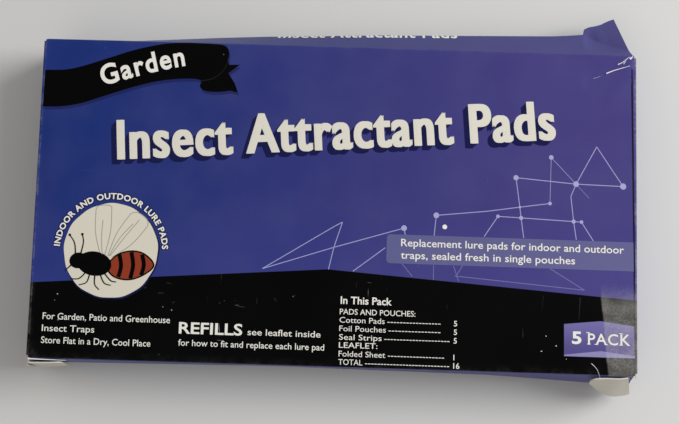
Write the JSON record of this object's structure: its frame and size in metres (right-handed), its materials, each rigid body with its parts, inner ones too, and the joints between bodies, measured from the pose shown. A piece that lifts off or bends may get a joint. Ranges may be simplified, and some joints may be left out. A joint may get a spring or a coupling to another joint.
{
  "type": "insect attractant refill carton",
  "caption": "Printed paperboard tuck-end carton holding sealed insect-attractant refill pouches with soaked cotton pads, with hinged end closures, dust flaps and a folded leaflet.",
  "frame": {"origin": "centre of the back panel's outer face, on which the carton lies", "axes": "+X along the carton's length, +Y across its width towards the upper side panel, +Z through its depth towards the printed front panel"},
  "size_m": [0.2308, 0.1449, 0.026],
  "materials": {
    "printed_board": "satin",
    "bare_board": "matte",
    "foil_film": "satin",
    "soaked_cotton": "matte",
    "leaflet_paper": "matte"
  },
  "bodies": {
    "carton": {"front_panel": "printed_board", "back_panel": "printed_board", "upper_side_panel": "printed_board", "lower_side_panel": "printed_board", "glue_flap": "bare_board"},
    "right_closure": {"right_closure_panel": "printed_board"},
    "right_tongue": {"right_tuck_tongue": "printed_board"},
    "left_closure": {"left_closure_panel": "printed_board"},
    "left_tongue": {"left_tuck_tongue": "printed_board"},
    "upper_left_flap": {"upper_left_dust_flap": "printed_board"},
    "upper_right_flap": {"upper_right_dust_flap": "printed_board"},
    "lower_left_flap": {"lower_left_dust_flap": "printed_board"},
    "lower_right_flap": {"lower_right_dust_flap": "printed_board"},
    "pouch_1": {"pouch_1_back_film": "foil_film", "pouch_1_front_film": "foil_film", "cotton_pad_1": "soaked_cotton"},
    "pouch_2": {"pouch_2_back_film": "foil_film", "pouch_2_front_film": "foil_film", "cotton_pad_2": "soaked_cotton"},
    "pouch_3": {"pouch_3_back_film": "foil_film", "pouch_3_front_film": "foil_film", "cotton_pad_3": "soaked_cotton"},
    "pouch_4": {"pouch_4_back_film": "foil_film", "pouch_4_front_film": "foil_film", "cotton_pad_4": "soaked_cotton"},
    "pouch_5": {"pouch_5_back_film": "foil_film", "pouch_5_front_film": "foil_film", "cotton_pad_5": "soaked_cotton"},
    "leaflet": {"instruction_leaflet": "leaflet_paper"}
  },
  "joints": [
    {"name": "right_closure_hinge", "type": "hinge", "parent": "carton", "child": "right_closure", "pos_m": [0.11475, 0, 0.02355], "axis": [0, -0.9992, 0.0403], "range_deg": [0, 180]},
    {"name": "left_closure_hinge", "type": "hinge", "parent": "carton", "child": "left_closure", "pos_m": [-0.11475, 0, 0.02605], "axis": [0, 1, 0], "range_deg": [0, 180]},
    {"name": "right_tongue_hinge", "type": "hinge", "parent": "right_closure", "child": "right_tongue", "pos_m": [0.11475, 0, 0.00085], "axis": [0, 1, 0], "range_deg": [-16, 20]},
    {"name": "left_tongue_hinge", "type": "hinge", "parent": "left_closure", "child": "left_tongue", "pos_m": [-0.11475, 0, 0.00085], "axis": [0, -1, 0], "range_deg": [-16, 20]},
    {"name": "upper_right_flap_hinge", "type": "hinge", "parent": "carton", "child": "upper_right_flap", "pos_m": [0.1134, 0.0612, 0.01], "axis": [0, 0, -1], "range_deg": [0, 40]},
    {"name": "upper_left_flap_hinge", "type": "hinge", "parent": "carton", "child": "upper_left_flap", "pos_m": [-0.1134, 0.0612, 0.01], "axis": [0, 0, 1], "range_deg": [0, 40]},
    {"name": "lower_left_flap_hinge", "type": "hinge", "parent": "carton", "child": "lower_left_flap", "pos_m": [-0.1149, -0.0642, 0.01], "axis": [0, 0, -1], "range_deg": [-2, 240]},
    {"name": "lower_right_flap_hinge", "type": "hinge", "parent": "carton", "child": "lower_right_flap", "pos_m": [0.1149, -0.0673, 0.0065], "axis": [0, 0.2233, 0.9748], "range_deg": [-2, 226]},
    {"name": "pouch_1_slide", "type": "slide", "parent": "carton", "child": "pouch_1", "axis": [1, 0, 0], "range_m": [-0.004, 0.004]},
    {"name": "pouch_2_slide", "type": "slide", "parent": "carton", "child": "pouch_2", "axis": [1, 0, 0], "range_m": [-0.004, 0.004]},
    {"name": "pouch_3_slide", "type": "slide", "parent": "carton", "child": "pouch_3", "axis": [1, 0, 0], "range_m": [-0.004, 0.004]},
    {"name": "pouch_4_slide", "type": "slide", "parent": "carton", "child": "pouch_4", "axis": [1, 0, 0], "range_m": [-0.004, 0.004]},
    {"name": "pouch_5_slide", "type": "slide", "parent": "carton", "child": "pouch_5", "axis": [1, 0, 0], "range_m": [-0.004, 0.004]},
    {"name": "leaflet_slide", "type": "slide", "parent": "carton", "child": "leaflet", "axis": [1, 0, 0], "range_m": [-0.004, 0.004]}
  ]
}
